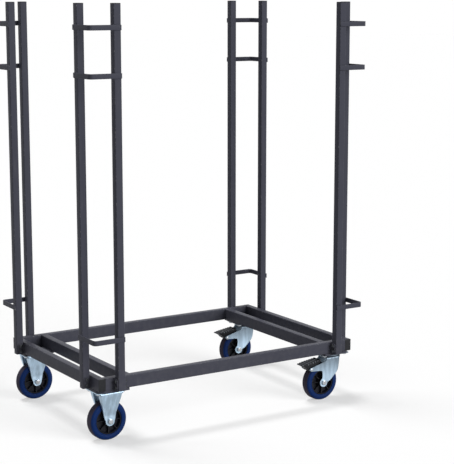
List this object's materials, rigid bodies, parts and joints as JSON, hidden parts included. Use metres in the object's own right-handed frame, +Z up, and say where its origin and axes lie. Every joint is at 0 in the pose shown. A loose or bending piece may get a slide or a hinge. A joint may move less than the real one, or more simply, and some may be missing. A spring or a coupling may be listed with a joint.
{
  "type": "banquet table trolley",
  "caption": "Open frame trolley for stacked banquet tables: rail base, tall corner posts joined by bent guard bars, fixed castors at one end and braked swivel castors at the other.",
  "frame": {"origin": "on the floor under the middle of the frame", "axes": "+Z up, +X along the length towards the swivel castors, +Y to the back"},
  "size_m": [1.286, 0.872, 1.7],
  "materials": {
    "frame_paint": "satin anthracite powder coat",
    "plug_plastic": "moulded black plugs",
    "zinc_sheet": "pressed sheet, bright zinc plating with a blue tint",
    "bolt_zinc": "zinc plated bolts, nuts and pins",
    "bolt_black": "blackened bolts and nuts",
    "blue_rubber": "blue elastic rubber",
    "hub_plastic": "moulded black hub with ribs",
    "pedal_black": "black pedal with light worn ridges",
    "bush_steel": "turned steel bush",
    "ball_steel": "polished balls"
  },
  "bodies": {
    "frame": {"front_rail": "frame_paint", "back_rail": "frame_paint", "left_rail": "frame_paint", "right_rail": "frame_paint", "left_cross_rail": "frame_paint", "right_cross_rail": "frame_paint", "mount_plates": "frame_paint", "left_post_front": "frame_paint", "left_post_back": "frame_paint", "right_post_front": "frame_paint", "right_post_back": "frame_paint", "front_post_left": "frame_paint", "front_post_right": "frame_paint", "back_post_left": "frame_paint", "back_post_right": "frame_paint", "post_lugs": "frame_paint", "top_bar_front_left": "frame_paint", "middle_bar_front_left": "frame_paint", "low_bar_front_left": "frame_paint", "top_bar_front_right": "frame_paint", "middle_bar_front_right": "frame_paint", "low_bar_front_right": "frame_paint", "top_bar_back_left": "frame_paint", "middle_bar_back_left": "frame_paint", "low_bar_back_left": "frame_paint", "top_bar_back_right": "frame_paint", "middle_bar_back_right": "frame_paint", "low_bar_back_right": "frame_paint", "rail_caps": "plug_plastic", "post_caps": "plug_plastic", "foot_bolts": "bolt_black", "foot_nuts": "bolt_black", "castor_bolts": "bolt_zinc", "fixed_axles": "bolt_zinc", "kingpin_front": "bolt_zinc", "kingpin_back": "bolt_zinc", "fixed_fork_front": "zinc_sheet", "fixed_fork_back": "zinc_sheet", "swivel_plate_front": "zinc_sheet", "swivel_plate_back": "zinc_sheet"},
    "swivel_front": {"swivel_fork_front": "zinc_sheet", "swivel_balls_front": "ball_steel", "swivel_pins_front": "bolt_zinc"},
    "swivel_back": {"swivel_fork_back": "zinc_sheet", "swivel_balls_back": "ball_steel", "swivel_pins_back": "bolt_zinc"},
    "pedal_front": {"brake_pedal_front": "pedal_black"},
    "pedal_back": {"brake_pedal_back": "pedal_black"},
    "wheel_front_left": {"tyre_front_left": "blue_rubber", "hub_front_left": "hub_plastic", "bush_front_left": "bush_steel"},
    "wheel_front_right": {"tyre_front_right": "blue_rubber", "hub_front_right": "hub_plastic", "bush_front_right": "bush_steel"},
    "wheel_back_left": {"tyre_back_left": "blue_rubber", "hub_back_left": "hub_plastic", "bush_back_left": "bush_steel"},
    "wheel_back_right": {"tyre_back_right": "blue_rubber", "hub_back_right": "hub_plastic", "bush_back_right": "bush_steel"}
  },
  "joints": [
    {"name": "front_left_wheel_spin", "type": "hinge", "parent": "frame", "child": "wheel_front_left", "pos_m": [-0.544, -0.337, 0.08], "axis": [0, 1, 0], "continuous": true},
    {"name": "back_left_wheel_spin", "type": "hinge", "parent": "frame", "child": "wheel_back_left", "pos_m": [-0.544, 0.337, 0.08], "axis": [0, 1, 0], "continuous": true},
    {"name": "front_swivel", "type": "hinge", "parent": "frame", "child": "swivel_front", "pos_m": [0.544, -0.337, 0.18], "axis": [0, 0, 1], "continuous": true},
    {"name": "back_swivel", "type": "hinge", "parent": "frame", "child": "swivel_back", "pos_m": [0.544, 0.337, 0.18], "axis": [0, 0, 1], "continuous": true},
    {"name": "front_right_wheel_spin", "type": "hinge", "parent": "swivel_front", "child": "wheel_front_right", "pos_m": [0.492, -0.337, 0.08], "axis": [0, 1, 0], "continuous": true},
    {"name": "back_right_wheel_spin", "type": "hinge", "parent": "swivel_back", "child": "wheel_back_right", "pos_m": [0.492, 0.337, 0.08], "axis": [0, 1, 0], "continuous": true},
    {"name": "front_brake", "type": "hinge", "parent": "swivel_front", "child": "pedal_front", "pos_m": [0.42796, -0.337, 0.14494], "axis": [0, -1, 0], "range_deg": [0, 12]},
    {"name": "back_brake", "type": "hinge", "parent": "swivel_back", "child": "pedal_back", "pos_m": [0.42796, 0.337, 0.14494], "axis": [0, -1, 0], "range_deg": [0, 12]}
  ]
}
